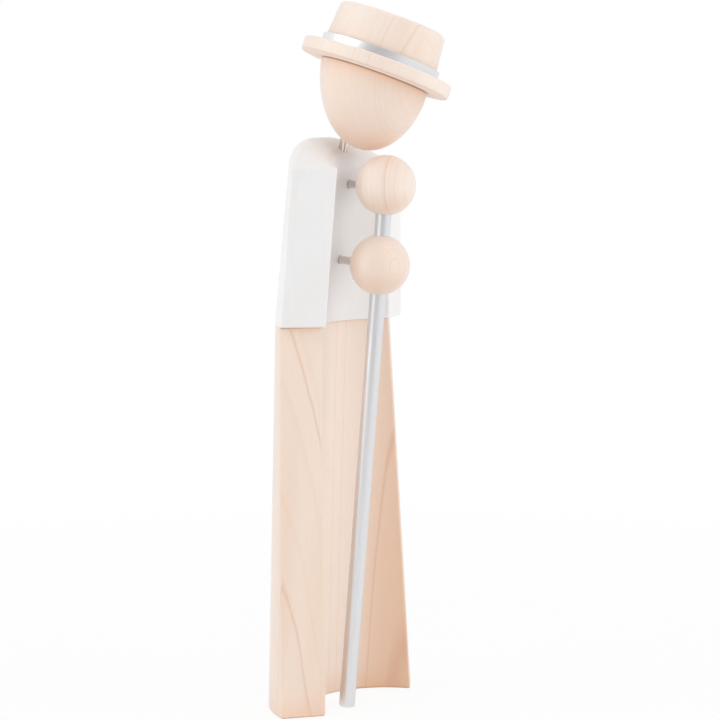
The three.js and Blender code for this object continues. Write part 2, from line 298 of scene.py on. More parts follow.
class Surface(Graph):
    """A material's node tree, with its shader and its output."""

    def __init__(self, name):
        self.material = bpy.data.materials.new(name)
        self.material.use_nodes = True
        super().__init__(self.material.node_tree)
        self.shader = self.node("ShaderNodeBsdfPrincipled")
        self.output = self.node("ShaderNodeOutputMaterial")
        self.put(self.output.inputs[0], self.shader.outputs[0])

    def set(self, **values):
        """Sets the shader's sockets: base_color becomes Base Color."""
        for key, value in values.items():
            socket = key.replace("_", " ").title().replace("Ior", "IOR")
            self.put(self.shader.inputs[socket], value)


# Colours

WHITE = (1.0, 1.0, 1.0, 1.0)
MAPLE_PALE = srgb(249, 234, 222)
MAPLE_TAN = srgb(243, 219, 200)
MAPLE_LINE = srgb(223, 173, 138)
# Painted shade of maple surfaces that face down
MAPLE_PAINTED_UNDERSIDE = srgb(230, 186, 154)
# Browner heartwood, and also the painted shade of sheltered places
MAPLE_HEART_AND_PAINTED_SHADE = srgb(242, 192, 152)
# Painted shade in the deepest gaps
MAPLE_PAINTED_GAP_SHADE = srgb(190, 110, 62)
LACQUER = srgb(244, 243, 243)
LACQUER_CLOUD = srgb(241, 240, 239)
LACQUER_GRAIN = srgb(236, 234, 232)
# Painted cool light of the lacquer's sheltered places
LACQUER_PAINTED_COOL_LIGHT = srgb(244, 250, 255)
ALUMINIUM = srgb(236, 236, 238)
ALUMINIUM_LINE = srgb(224, 224, 226)
STEEL = srgb(232, 223, 215)
STEEL_LINE = srgb(216, 207, 199)
BEECH_PALE = srgb(226, 200, 168)
BEECH_DARK = srgb(210, 178, 142)
BEECH_FLECK = srgb(176, 138, 104)
PAPER = srgb(244, 244, 244)
PAPER_CLOUD = srgb(242, 242, 242)

# Maple: sizes in metres, ranges over which a feature fades in, and depths of its colour
PITH_DISTANCE = 0.120
GRAIN_DRAWN_OUT = 0.06
SHIFT_AXES = (1.0, 1.7, 2.3)
WAVE_SIZE = 0.010
TONE_SIZE = 0.020
FIBRE_SIZE = 0.0004
FIBRE_DETAIL = 3.0
FIBRE_ROUGHNESS = 0.6
FLECK_SIZE = 0.0010
FLECK_DETAIL = 1.0
UNEVEN_RINGS = 2
UNEVEN_YEARS = 1.6
BAND_RINGS = 3
LATE_WOOD_START = (0.55, 0.90)
LATE_WOOD_END = (0.94, 1.0)
TONE_RANGE = (0.35, 0.75)
TONE_DEPTH = 0.5
BAND_RANGE = (0.40, 0.75)
SAP_DEPTH = 0.7
HEART_DEPTH = 0.58
FIBRE_RANGE = (0.45, 0.85)
FIBRE_DEPTH = 0.12
FLECK_RANGE = (0.60, 0.74)
FLECK_DEPTH = 0.07
PAINTED_UNDERSIDE_RANGE = (0.0, 0.75)
PAINTED_SHADE_RANGE = (0.30, 0.95)
PAINTED_GAP_SHADE_RANGE = (0.0, 0.25)
PAINTED_GAP_SHADE_DEPTH = 0.9
MAPLE_GLOSS_RANGE = (0.2, 0.8)
MAPLE_ROUGHNESS = (0.42, 0.56)
MAPLE_SPECULAR = 0.5
MAPLE_SHEEN = 0.8
MAPLE_SHEEN_ROUGHNESS = 0.5
MAPLE_BUMP = 0.10

# Lacquer
LACQUER_DRAWN_OUT = (1.0, 1.0, 0.06)
LACQUER_GRAIN_SIZE = 0.0016
LACQUER_PEEL_SIZE = 0.0012
LACQUER_PEEL_DETAIL = 1.0
LACQUER_CLOUD_SIZE = 0.030
LACQUER_CLOUD_RANGE = (0.3, 0.7)
LACQUER_GRAIN_RANGE = (0.5, 0.8)
LACQUER_GRAIN_DEPTH = 0.25
LACQUER_PAINTED_COOL_DEPTH = 0.9
LACQUER_ROUGHNESS = (0.34, 0.42)
LACQUER_SPECULAR = 0.4
LACQUER_GRAIN_BUMP = 0.6
LACQUER_BUMP = 0.04

# Metals
DRAWN_OUT = 0.01
DRAWN_LINE_SIZE = 0.00016
LATHE_LINE_SIZE = 0.00009
LINE_DETAIL = 3.0
LINE_ROUGHNESS = 0.7
LINE_RANGE = (0.3, 0.7)
METAL_CLOUD_SIZE = 0.006
METAL_CLOUD_DEPTH = 0.12
METAL_BUMP = 0.06
METAL_BUMP_DEPTH = 0.00005
PIN_ROUGHNESS = 0.14
STAFF_ROUGHNESS = 0.32
BAND_ROUGHNESS = 0.30

# Beech
BEECH_DRAWN_OUT = (1.0, 1.0, 0.08)
BEECH_FLECK_SIZE = 0.0007
BEECH_FLECK_RANGE = (0.5, 0.75)
BEECH_FLECK_DEPTH = 0.5
BEECH_TONE_SIZE = 0.004
BEECH_ROUGHNESS = (0.55, 0.65)
BEECH_BUMP = 0.15


def pith_behind(growth, distance=PITH_DISTANCE):
    """Point of the tree's centre line when growth points straight away from it."""
    return tuple(-distance * Vector(growth))


@dataclass
class Cut:
    """Where a piece of maple was cut from the trunk; places are from the piece's own origin.

    fibre is the direction of the grain and pith a point of the trunk's centre line.
    ring is the usual width of a growth ring and figure the contrast of the rings.
    wave is how far the rings wander and tan the depth of the tone.
    streaks lists the rings that show as a reddish line: distance from the pith, width, strength.
    sap is the range of distances over which the wood turns paler.
    heart is the band of browner wood: where it starts, is full, fades and ends.
    underside_shade is the depth of the painted shade on the lower end, and shade the depth of the
    painted warm shade in sheltered places.
    shift moves the random figure, so that no two pieces look alike."""
    fibre: tuple
    pith: tuple
    ring: float
    figure: float = 0.3
    wave: float = 0.0010
    tan: float = 0.0
    streaks: tuple = ()
    sap: tuple = (1.0, 2.0)
    heart: tuple = (1.0, 1.1, 1.2, 1.3)
    underside_shade: float = 0.6
    shade: float = 0.6
    shift: float = 0.0


def maple(name, cut):
    """Pale maple with fine growth lines, fibres and flecks, and painted shade underneath and in
    sheltered places.
    """
    g = Surface(name)
    place = g.coordinates()
    moved = g.vector("ADD", place, tuple(cut.shift * axis for axis in SHIFT_AXES))
    drawn = g.stretched(moved, cut.fibre, GRAIN_DRAWN_OUT)

    # Growth layers are cylinders about the pith, slightly wavy along the grain
    from_pith = g.vector("SUBTRACT", place, cut.pith)
    radius = g.vector("LENGTH", g.vector("CROSS_PRODUCT", from_pith, cut.fibre))
    wave = g.math("SUBTRACT", g.noise(drawn, WAVE_SIZE), 0.5)
    layer = g.math("MULTIPLY_ADD", wave, cut.wave, radius)
    shifted = g.math("ADD", layer, cut.shift)
    uneven = g.math("MULTIPLY", g.noise_along(shifted, UNEVEN_RINGS * cut.ring), UNEVEN_YEARS)
    year = g.math("FRACT", g.math("MULTIPLY_ADD", shifted, 1 / cut.ring, uneven))
    late_end = g.smooth(year, *LATE_WOOD_END, 1.0, 0.0)
    late = g.math("MULTIPLY", g.smooth(year, *LATE_WOOD_START), late_end)
    tone = g.noise(drawn, TONE_SIZE)
    bands = g.noise_along(shifted, BAND_RINGS * cut.ring)
    fibres = g.noise(drawn, FIBRE_SIZE, FIBRE_DETAIL, FIBRE_ROUGHNESS)
    flecks = g.smooth(g.noise(drawn, FLECK_SIZE, FLECK_DETAIL), *FLECK_RANGE)

    depth = g.smooth(tone, *TONE_RANGE, cut.tan, cut.tan + TONE_DEPTH)
    color = g.mix(depth, MAPLE_PALE, MAPLE_TAN)
    color = g.mix(g.smooth(bands, *BAND_RANGE, 0.0, cut.figure), color, MAPLE_TAN)
    color = g.mix(g.math("MULTIPLY", late, cut.figure), color, MAPLE_LINE)
    color = g.mix(g.smooth(layer, *cut.sap, 0.0, SAP_DEPTH), color, MAPLE_PALE)
    heart_end = g.smooth(layer, *cut.heart[2:], HEART_DEPTH, 0.0)
    heart = g.math("MULTIPLY", g.smooth(layer, *cut.heart[:2]), heart_end)
    color = g.mix(heart, color, MAPLE_HEART_AND_PAINTED_SHADE)
    for distance, width, strength in cut.streaks:
        off = g.math("ABSOLUTE", g.math("SUBTRACT", layer, distance))
        color = g.mix(g.smooth(off, 0.0, width, strength, 0.0), color, MAPLE_LINE)
    color = g.mix(g.smooth(fibres, *FIBRE_RANGE, 0.0, FIBRE_DEPTH), color, MAPLE_LINE)
    color = g.mix(g.math("MULTIPLY", flecks, FLECK_DEPTH), color, MAPLE_LINE)

    # Painted shade: the lower end grain, which faces down, is darker and warmer, standing in for
    # the dimmer light underneath
    facing = g.vector("DOT_PRODUCT", g.coordinates("Normal"), tuple(-Vector(cut.fibre)))
    color = g.mix(g.smooth(facing, *PAINTED_UNDERSIDE_RANGE, 0.0, cut.underside_shade), color, MAPLE_PAINTED_UNDERSIDE)

    # Painted shade: sheltered places are warmer and darker, standing in for the light that comes
    # off other wood, and the deepest gaps take a painted dark brown
    openness = g.openness()
    color = g.mix(g.smooth(openness, *PAINTED_SHADE_RANGE, cut.shade, 0.0), color, MAPLE_HEART_AND_PAINTED_SHADE)
    color = g.mix(g.smooth(openness, *PAINTED_GAP_SHADE_RANGE, PAINTED_GAP_SHADE_DEPTH, 0.0), color, MAPLE_PAINTED_GAP_SHADE)

    g.set(
        base_color=color,
        roughness=g.smooth(fibres, *MAPLE_GLOSS_RANGE, *MAPLE_ROUGHNESS),
        specular_ior_level=MAPLE_SPECULAR,
        normal=g.bump(g.math("ADD", fibres, flecks), MAPLE_BUMP),
        sheen_weight=MAPLE_SHEEN,
        sheen_roughness=MAPLE_SHEEN_ROUGHNESS,
    )
    return g.material


def white_lacquer():
    """Satin white lacquer with a faint orange peel, the wood's grain just showing through, and
    painted cool light in sheltered places.
    """
    g = Surface("white_lacquer")
    place = g.coordinates()
    grain = g.noise(g.vector("MULTIPLY", place, LACQUER_DRAWN_OUT), LACQUER_GRAIN_SIZE)
    peel = g.noise(place, LACQUER_PEEL_SIZE, LACQUER_PEEL_DETAIL)
    cloud = g.noise(place, LACQUER_CLOUD_SIZE)
    color = g.mix(g.smooth(cloud, *LACQUER_CLOUD_RANGE), LACQUER, LACQUER_CLOUD)
    grain_depth = g.smooth(grain, *LACQUER_GRAIN_RANGE, 0.0, LACQUER_GRAIN_DEPTH)
    color = g.mix(grain_depth, color, LACQUER_GRAIN)

    # Painted light: sheltered places are tinted a little cooler and paler, against the warm light
    # off the wood
    painted_cool_depth = g.smooth(g.openness(), *PAINTED_SHADE_RANGE, LACQUER_PAINTED_COOL_DEPTH, 0.0)
    color = g.mix(painted_cool_depth, color, LACQUER_PAINTED_COOL_LIGHT)

    relief = g.math("ADD", peel, g.math("MULTIPLY", grain, LACQUER_GRAIN_BUMP))
    g.set(
        base_color=color,
        roughness=g.smooth(cloud, *LACQUER_CLOUD_RANGE, *LACQUER_ROUGHNESS),
        specular_ior_level=LACQUER_SPECULAR,
        normal=g.bump(relief, LACQUER_BUMP),
    )
    return g.material


def satin_metal(name, axis, light, dark, roughness, on_lathe=False):
    """Satin metal with fine lines drawn along an axis, or left round it by a lathe."""
    g = Surface(name)
    place = g.coordinates()
    if on_lathe:
        height = g.vector("DOT_PRODUCT", place, axis)
        lines = g.noise_along(height, LATHE_LINE_SIZE, LINE_DETAIL, LINE_ROUGHNESS)
    else:
        drawn = g.stretched(place, axis, DRAWN_OUT)
        lines = g.noise(drawn, DRAWN_LINE_SIZE, LINE_DETAIL, LINE_ROUGHNESS)
    cloud = g.noise(place, METAL_CLOUD_SIZE)
    g.set(
        base_color=g.mix(g.smooth(lines, *LINE_RANGE), light, dark),
        metallic=1.0,
        roughness=g.math("MULTIPLY_ADD", cloud, METAL_CLOUD_DEPTH, roughness),
        normal=g.bump(lines, METAL_BUMP, METAL_BUMP_DEPTH),
    )
    return g.material


def dowel_wood():
    """Plain beech of the hidden dowels and the peg, with its short flecks along the grain."""
    g = Surface("dowel_wood")
    drawn = g.vector("MULTIPLY", g.coordinates(), BEECH_DRAWN_OUT)
    flecks = g.smooth(g.noise(drawn, BEECH_FLECK_SIZE), *BEECH_FLECK_RANGE)
    color = g.mix(g.noise(drawn, BEECH_TONE_SIZE), BEECH_PALE, BEECH_DARK)
    g.set(
        base_color=g.mix(g.math("MULTIPLY", flecks, BEECH_FLECK_DEPTH), color, BEECH_FLECK),
        roughness=g.smooth(flecks, 0.0, 1.0, *BEECH_ROUGHNESS),
        normal=g.bump(flecks, BEECH_BUMP),
    )
    return g.material


# Meshes


def new_mesh(name, vertices, faces):
    mesh = bpy.data.meshes.new(name)
    mesh.from_pydata([tuple(v) for v in vertices], [], faces)
    shape = bmesh.new()
    shape.from_mesh(mesh)
    bmesh.ops.recalc_face_normals(shape, faces=shape.faces)
    shape.to_mesh(mesh)
    shape.free()
    return mesh


def new_object(name, vertices, faces, placed):
    """Object at the origin of a frame, with its own axes kept parallel to the world's."""
    turn = placed.to_3x3()
    made = bpy.data.objects.new(name, new_mesh(name, [turn @ Vector(v) for v in vertices], faces))
    made.location = placed.translation
    bpy.context.scene.collection.objects.link(made)
    bpy.context.view_layer.update()
    return made


def dress(piece, material, body, node):
    """Gives a finished piece its shading, its material and its place in the frame."""
    piece.data.shade_smooth()
    piece.data.set_sharp_from_angle(angle=SMOOTH_ANGLE)
    piece.data.materials.clear()
    piece.data.materials.append(material)
    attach(piece, body)
    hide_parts(node)


def drill(piece, line, radius):
    """Cuts a round hole along a line and a little past both its ends."""
    start, end, carrier = line
    spare = (end - start).normalized() * DRILL_GAP
    start, end = start - spare, end + spare
    length = (end - start).length
    profile = [(0, 0), (radius, 0), (radius, length), (0, length)]
    cutter = new_object("drill", *turned(profile, DRILL_SEGMENTS), carrier @ along_line(start, end))
    modifier = piece.modifiers.new("drill", "BOOLEAN")
    modifier.operation = "DIFFERENCE"
    modifier.solver = "EXACT"
    modifier.object = cutter
    evaluated = piece.evaluated_get(bpy.context.evaluated_depsgraph_get())
    drilled = bpy.data.meshes.new_from_object(evaluated)
    piece.modifiers.clear()
    piece.data = drilled
    drilled.name = piece.name
    bpy.data.objects.remove(cutter)


def along_line(start, end):
    """Frame at start whose Z points to end."""
    turn = UP.rotation_difference(end - start)
    return Matrix.Translation(start) @ turn.to_matrix().to_4x4()


def rounded(corners):
    """Profile of a polyline of (radius, height, rounding), each corner turned into an arc."""
    points = []
    for i, (x, z, rounding) in enumerate(corners):
        corner = Vector((x, z))
        if rounding == 0:
            points.append(corner)
            continue
        before = (Vector(corners[i - 1][:2]) - corner).normalized()
        after = (Vector(corners[(i + 1) % len(corners)][:2]) - corner).normalized()
        half = before.angle(after) / 2
        centre = corner + (before + after).normalized() * (rounding / math.sin(half))
        first = corner + before * (rounding / math.tan(half)) - centre
        last = corner + after * (rounding / math.tan(half)) - centre
        for step in range(CORNER_STEPS + 1):
            points.append(centre + rounding * first.slerp(last, step / CORNER_STEPS))
    return points


def turned(profile, segments=TURNED_SEGMENTS, closed=False):
    """Vertices and faces of a body of revolution about Z; a point on the axis is one vertex."""
    vertices, rings, faces = [], [], []
    for x, z in profile:
        count = 1 if abs(x) < ON_AXIS else segments
        rings.append([len(vertices) + k for k in range(count)])
        for k in range(count):
            angle = math.tau * k / segments
            vertices.append((x * math.cos(angle), x * math.sin(angle), z))
    pairs = list(zip(rings, rings[1:]))
    if closed:
        pairs.append((rings[-1], rings[0]))
    for low, high in pairs:
        for k in range(segments):
            lower = [low[k % len(low)], low[(k + 1) % len(low)]]
            upper = [high[(k + 1) % len(high)], high[k % len(high)]]
            faces.append(list(dict.fromkeys(lower + upper)))
    return vertices, faces


# Robe and jacket


@dataclass
class End:
    """Plane of an end face: its normal's turn from straight ahead, and its distance by height."""
    turn: float
    distance: Callable


@dataclass
class Wall:
    """Upright wall on a ring sector, with its hollow to the front and two flat end faces."""
    bottom: float
    inner: Callable
    outer: Callable
    right_end: End
    left_end: End
    crest: Callable
    rounding: Callable
    ridge: float
    top_edge: float
    back_round: float
    hollow_top: float
    front_reach: float
    front_roll: float
    bottom_edge: float
    end_edge: float


def end_angle(wall, share, radius, centre, z):
    """Angle at which a circle about (0, centre) meets the end plane on one side of the wall."""
    end = wall.right_end if share < 0 else wall.left_end
    return math.acos(-(end.distance(z) + math.cos(end.turn) * centre) / radius) - end.turn


def wall_point(wall, share, across, z):
    """Point at a height; share runs from -1 at the right end face to 1 at the left.

    across runs from 0 at the hollow to 1 at the back."""
    point = Vector((0, 0, 0))
    for (radius, centre), weight in ((wall.inner(z), 1 - across), (wall.outer(z), across)):
        angle = share * end_angle(wall, share, radius, centre, z)
        point += weight * Vector((radius * math.sin(angle), centre + radius * math.cos(angle), z))
    return point


def wall_side(wall, share, side, inset, thickness, top):
    """Section points from the middle of the bottom, up one side and in to the ridge.

    side is 1 at the back. inset draws the section in all round, to round off an end face.
    top holds how far the top curves in, how far down, and its roll, flatter above 1."""
    reach, drop, roll = top
    inward = 1 - 2 * side
    drawn = inset / thickness
    face = side + inward * drawn
    bottom = wall.bottom + inset
    crest = wall.crest(share) - inset
    edge = max(wall.bottom_edge - inset, LEAST_EDGE)
    lip = edge / thickness
    reach = max(reach - drawn, LEAST_EDGE / thickness)
    drop = max(drop - inset, LEAST_EDGE)
    places = []
    for i in range(BOTTOM_STEPS):
        places.append((lerp(wall.ridge, face + inward * lip, i / BOTTOM_STEPS), bottom))
    for i in range(CORNER_STEPS):
        angle = math.pi / 2 * i / CORNER_STEPS
        across = face + inward * lip * (1 - math.sin(angle))
        places.append((across, bottom + edge * (1 - math.cos(angle))))
    for i in range(SIDE_STEPS):
        places.append((face, lerp(bottom + edge, crest - drop, i / SIDE_STEPS)))
    for i in range(SHOULDER_STEPS):
        angle = math.pi / 2 * i / SHOULDER_STEPS
        across = face + inward * reach * (1 - math.cos(angle) ** roll)
        places.append((across, crest - drop * (1 - math.sin(angle) ** roll)))
    for i in range(TOP_STEPS + 1):
        places.append((lerp(face + inward * reach, wall.ridge, i / TOP_STEPS), crest))
    return [wall_point(wall, share, across, z) for across, z in places]


def wall_ring(wall, share, inset):
    """Closed section of the wall: up the back to the ridge and down the front."""
    across = wall_point(wall, share, 1, wall.bottom) - wall_point(wall, share, 0, wall.bottom)
    thickness = across.length
    fullness = wall.rounding(share)
    widest = 1 - RIDGE_FLAT
    lip = wall.top_edge / thickness
    back_reach = lerp(lip, (1 - wall.ridge) * widest, fullness)
    back_drop = lerp(wall.top_edge, wall.back_round, fullness)
    front_reach = lerp(lip, wall.ridge * widest, wall.front_reach)
    front_drop = max(wall.top_edge, wall.crest(share) - wall.hollow_top)
    back_top = (back_reach, back_drop, ELLIPSE_ROLL)
    front_top = (front_reach, front_drop, wall.front_roll)
    back = wall_side(wall, share, 1, inset, thickness, back_top)
    front = wall_side(wall, share, 0, inset, thickness, front_top)
    return back + front[-2:0:-1]


def wall_stations(wall):
    """Shares and insets of the sections from the left end face to the right, both rounded."""
    radius, centre = wall.inner(wall.bottom)
    ends = {}
    for side in (1, -1):
        reach = radius * end_angle(wall, side, radius, centre, wall.bottom)
        ends[side] = []
        for i in range(EDGE_STEPS + 1):
            angle = math.pi / 2 * (1 - i / EDGE_STEPS)
            share = 1 - wall.end_edge * (1 - math.sin(angle)) / reach
            ends[side].append((side * share, wall.end_edge * (1 - math.cos(angle))))
    left, right = ends[1][-1][0], ends[-1][-1][0]
    middle = []
    for i in range(1, WALL_STATIONS):
        along = math.cos(math.pi * i / WALL_STATIONS)
        middle.append((abs(along) * (left if along > 0 else right), 0.0))
    return ends[1] + middle + ends[-1][::-1]


def wall_object(name, wall):
    rings = [wall_ring(wall, share, inset) for share, inset in wall_stations(wall)]
    size = len(rings[0])
    vertices = [point for ring in rings for point in ring]
    faces = []
    for i in range(len(rings) - 1):
        for j in range(size):
            a, b = i * size + j, i * size + (j + 1) % size
            faces.append([a, b, b + size, a + size])
    for base in (0, (len(rings) - 1) * size):
        faces.append([base + j for j in range(size)])
    return new_object(name, vertices, faces, RING)


def robe_wall():
    def share_of(z):
        return z / ROBE_HEIGHT
    end = End(ROBE_END_TURN, lambda z: lerp(ROBE_END_BASE, ROBE_END_TOP, share_of(z)))
    return Wall(
        bottom=0.0,
        inner=lambda z: (lerp(ROBE_BASE_INNER, ROBE_TOP_INNER, share_of(z)), 0.0),
        outer=lambda z: (lerp(ROBE_BASE_OUTER, ROBE_TOP_OUTER, share_of(z)), 0.0),
        right_end=end,
        left_end=end,
        crest=lambda share: ROBE_HEIGHT,
        rounding=lambda share: 0.0,
        ridge=0.5,
        top_edge=ROBE_TOP_EDGE,
        back_round=ROBE_TOP_EDGE,
        hollow_top=ROBE_HEIGHT,
        front_reach=0.0,
        front_roll=ELLIPSE_ROLL,
        bottom_edge=ROBE_BOTTOM_EDGE,
        end_edge=ROBE_END_EDGE,
    )


def jacket_hollow(z):
    """Radius and centre of the jacket's hollow at a height."""
    return JACKET_INNER, JACKET_INNER_CENTRE - JACKET_LEAN * (z - JACKET_BOTTOM)


def jacket_wall():
    def end(turn, distance):
        return End(turn, lambda z: distance + JACKET_END_LEAN * (z - JACKET_BOTTOM))

    def crest(share):
        fall = SHOULDER_RIGHT_FALL if share < 0 else SHOULDER_LEFT_FALL
        return lerp(SHOULDER_MIDDLE, SHOULDER_END, abs(share) ** fall)
    return Wall(
        bottom=JACKET_BOTTOM,
        inner=jacket_hollow,
        outer=lambda z: (JACKET_OUTER, -JACKET_LEAN * (z - JACKET_BOTTOM)),
        right_end=end(JACKET_RIGHT_TURN, JACKET_RIGHT_END),
        left_end=end(JACKET_LEFT_TURN, JACKET_LEFT_END),
        crest=crest,
        rounding=lambda share: 1 - abs(share) ** SHOULDER_END_FADE,
        ridge=SHOULDER_RIDGE,
        top_edge=JACKET_TOP_EDGE,
        back_round=SHOULDER_BACK_ROUND,
        hollow_top=SHOULDER_END,
        front_reach=1.0,
        front_roll=SHOULDER_FRONT_ROLL,
        bottom_edge=JACKET_BOTTOM_EDGE,
        end_edge=JACKET_END_EDGE,
    )


# Lines of the pins, dowels and staff: start, end and the frame that carries them

STAFF_AXIS = (UPPER_HAND - STAFF_FOOT).normalized()
STAFF_TOP = UPPER_HAND + STAFF_AXIS * STAFF_PAST_UPPER
LOWER_HAND = STAFF_FOOT.lerp(UPPER_HAND, LOWER_HAND_SHARE)


def hand_pin_line(hand, drop):
    """Pin that leaves the hollow straight behind the hand, higher than the hand by the drop."""
    radius, centre = jacket_hollow(hand.z + drop)
    wall = Vector((hand.x, centre + math.sqrt(radius ** 2 - hand.x ** 2), hand.z + drop))
    inward = (wall - hand).normalized()
    return hand + inward * (HAND_RADIUS - HAND_PIN_IN_BALL), wall + inward * HAND_PIN_IN_WALL, RING


def axis_line(low, high, carrier):
    return UP * low, UP * high, carrier


def dowel_line(side):
    foot = Vector((side * DOWEL_X, DOWEL_Y, JACKET_BOTTOM - DOWEL_LENGTH / 2))
    return foot, foot + UP * DOWEL_LENGTH, RING


UPPER_PIN = hand_pin_line(UPPER_HAND, 0.0)
LOWER_PIN = hand_pin_line(LOWER_HAND, LOWER_PIN_DROP)
NECK_PIN = axis_line(-NECK_PIN_DOWN, NECK_PIN_UP, NECK)
PINS = {"neck_pin": NECK_PIN, "upper_hand_pin": UPPER_PIN, "lower_hand_pin": LOWER_PIN}
DOWELS = [dowel_line(side) for side in (-1, 1)]

# Level directions: to the picture's right and towards the camera
TO_RIGHT = Vector((math.cos(CAMERA_TURN), -math.sin(CAMERA_TURN), 0))
TO_CAMERA = Vector((-math.sin(CAMERA_TURN), -math.cos(CAMERA_TURN), 0))


def axis_of(placed):
    """Direction of a frame's Z."""
    return tuple(placed.to_3x3() @ UP)


def growth_towards(right, fibre):
    """Unit vector across the grain that leans right of the camera by a share of its length."""
    level = TO_RIGHT * right + TO_CAMERA * math.sqrt(1 - right * right)
    along = Vector(fibre)
    return (level - along * level.dot(along)).normalized()


# How each piece of maple was cut from its trunk

ROBE_CUT = Cut(
    fibre=tuple(Vector((0.0519, -0.078, 1.0)).normalized()),
    pith=(-0.1614, -0.0594, 0.0),
    ring=0.0040,
    figure=0.07,
    tan=0.6,
    streaks=(
        (0.1408, 0.0003, 0.36),
        (0.1510, 0.0003, 0.40),
        (0.1882, 0.0005, 0.18),
        (0.1928, 0.0005, 0.15),
        (0.2043, 0.0003, 0.38),
        (0.2085, 0.0010, 0.42),
        (0.2160, 0.0004, 0.34),
        (0.2245, 0.0003, 0.30),
    ),
    sap=(0.160, 0.182),
    heart=(0.197, 0.208, 0.211, 0.228),
)
HEAD_CUT = Cut(
    fibre=axis_of(HEAD),
    pith=pith_behind(growth_towards(right=0.8, fibre=axis_of(HEAD))),
    ring=0.0016,
    figure=0.08,
    tan=0.2,
    underside_shade=0.42,
    shade=1.0,
    shift=0.31,
)
HAT_CUT = Cut(
    fibre=axis_of(HAT),
    pith=pith_behind(growth_towards(right=0.75, fibre=axis_of(HAT))),
    ring=0.0020,
    figure=0.06,
    streaks=((PITH_DISTANCE + 0.01995, 0.0003, 0.24), (PITH_DISTANCE + 0.02585, 0.0003, 0.24)),
    shift=0.57,
)
UPPER_CUT = Cut(
    fibre=UPRIGHT,
    pith=pith_behind(growth_towards(right=0.95, fibre=UPRIGHT), distance=1.0),
    ring=0.0030,
    figure=0.10,
    streaks=((1.0039, 0.0007, 0.28),),
    shade=0.25,
    underside_shade=0.4,
    shift=0.83,
)
LOWER_CUT = Cut(
    fibre=UPRIGHT,
    pith=pith_behind(growth_towards(right=0.52, fibre=UPRIGHT), distance=-0.040),
    ring=0.0011,
    figure=0.15,
    wave=0.0022,
    tan=0.25,
    underside_shade=0.4,
    shift=1.09,
)


# Pieces


def make_robe():
    robe = wall_object("robe_wood", robe_wall())
    for line in DOWELS:
        drill(robe, line, DOWEL_RADIUS + DRILL_GAP)
    dress(robe, maple("maple_robe", ROBE_CUT), "figure", "robe")


def make_jacket():
    jacket = wall_object("jacket_wood", jacket_wall())
    for line in DOWELS:
        drill(jacket, line, DOWEL_RADIUS + DRILL_GAP)
    for line in (UPPER_PIN, LOWER_PIN, NECK_PIN):
        drill(jacket, line, PIN_RADIUS + DRILL_GAP)
    dress(jacket, white_lacquer(), "figure", "jacket")


def make_head():
    """Egg with a flat seat under the hat: a unit ball about the seat's axis, stretched."""
    size = Vector((HEAD_RADIUS, HEAD_RADIUS, HEAD_HALF_LENGTH))
    pole = (HAT_TURN.to_3x3() @ UP) * size
    seat = (-BRIM_HALF - SEAT_GAP) / pole.length
    chamfer = HEAD_SEAT_CHAMFER / pole.length
    seat_angle = math.acos(-(seat - chamfer))
    profile = [(0, -1)]
    for i in range(1, EGG_ROWS + 1):
        angle = seat_angle * i / EGG_ROWS
        profile.append((math.sin(angle), -math.cos(angle)))
    profile += [(math.sqrt(1 - seat * seat) - chamfer, seat), (0, seat)]
    vertices, faces = turned(profile)
    tilt = UP.rotation_difference(pole)
    head = new_object("head_egg", [(tilt @ Vector(v)) * size for v in vertices], faces, HEAD)
    drill(head, NECK_PIN, PIN_RADIUS + DRILL_GAP)
    drill(head, axis_line(-PEG_DOWN, OVERSHOOT, HAT), PEG_RADIUS + DRILL_GAP)
    dress(head, maple("maple_head", HEAD_CUT), "head", "head")


def make_hat():
    hole = PEG_RADIUS + DRILL_GAP
    hole_end = PEG_UP + DRILL_GAP
    profile = rounded([
        (0, hole_end, 0),
        (hole, hole_end, 0),
        (hole, -BRIM_HALF, 0),
        (BRIM_RADIUS, -BRIM_HALF, BRIM_EDGE),
        (BRIM_RADIUS, BRIM_HALF, BRIM_EDGE),
        (CROWN_FOOT_RADIUS, BRIM_HALF, 0),
        (CROWN_TOP_RADIUS, CROWN_TOP, CROWN_EDGE),
        (0, CROWN_TOP, 0),
    ])
    hat = new_object("hat_wood", *turned(profile), HAT)
    dress(hat, maple("maple_hat", HAT_CUT), "head", "hat")


def make_hat_band():
    bottom = BRIM_HALF + SEAT_GAP
    top = bottom + BAND_HEIGHT
    inner = CROWN_FOOT_RADIUS + SEAT_GAP
    outer = inner + BAND_WALL
    corners = [(inner, bottom), (outer, bottom), (outer, top), (inner, top)]
    section = rounded([(*corner, BAND_EDGE) for corner in corners])
    band = new_object("hat_band_ring", *turned(section, closed=True), HAT)
    colors = (ALUMINIUM, ALUMINIUM_LINE)
    metal = satin_metal("aluminium_band", axis_of(HAT), *colors, BAND_ROUGHNESS, on_lathe=True)
    dress(band, metal, "head", "hat_band")


def make_hand(name, centre, pin, through, cut):
    """Ball on the staff's axis, drilled for the staff and for its own pin."""
    hole = STAFF_RADIUS + DRILL_GAP
    dip = math.asin(hole / HAND_RADIUS)
    profile = []
    highest = math.pi - dip if through else math.pi
    for i in range(BALL_ROWS + 1):
        angle = lerp(dip, highest, i / BALL_ROWS)
        profile.append((HAND_RADIUS * math.sin(angle), -HAND_RADIUS * math.cos(angle)))
    if not through:
        end = STAFF_PAST_UPPER + DRILL_GAP
        profile[-1] = (0, HAND_RADIUS)
        profile = [(0, end), (hole, end)] + profile
    placed = RING @ along_line(centre, centre + STAFF_AXIS)
    ball = new_object(name, *turned(profile, closed=through), placed)
    drill(ball, pin, PIN_RADIUS + DRILL_GAP)
    dress(ball, maple(f"maple_{name}", cut), "figure", name.removesuffix("_ball"))


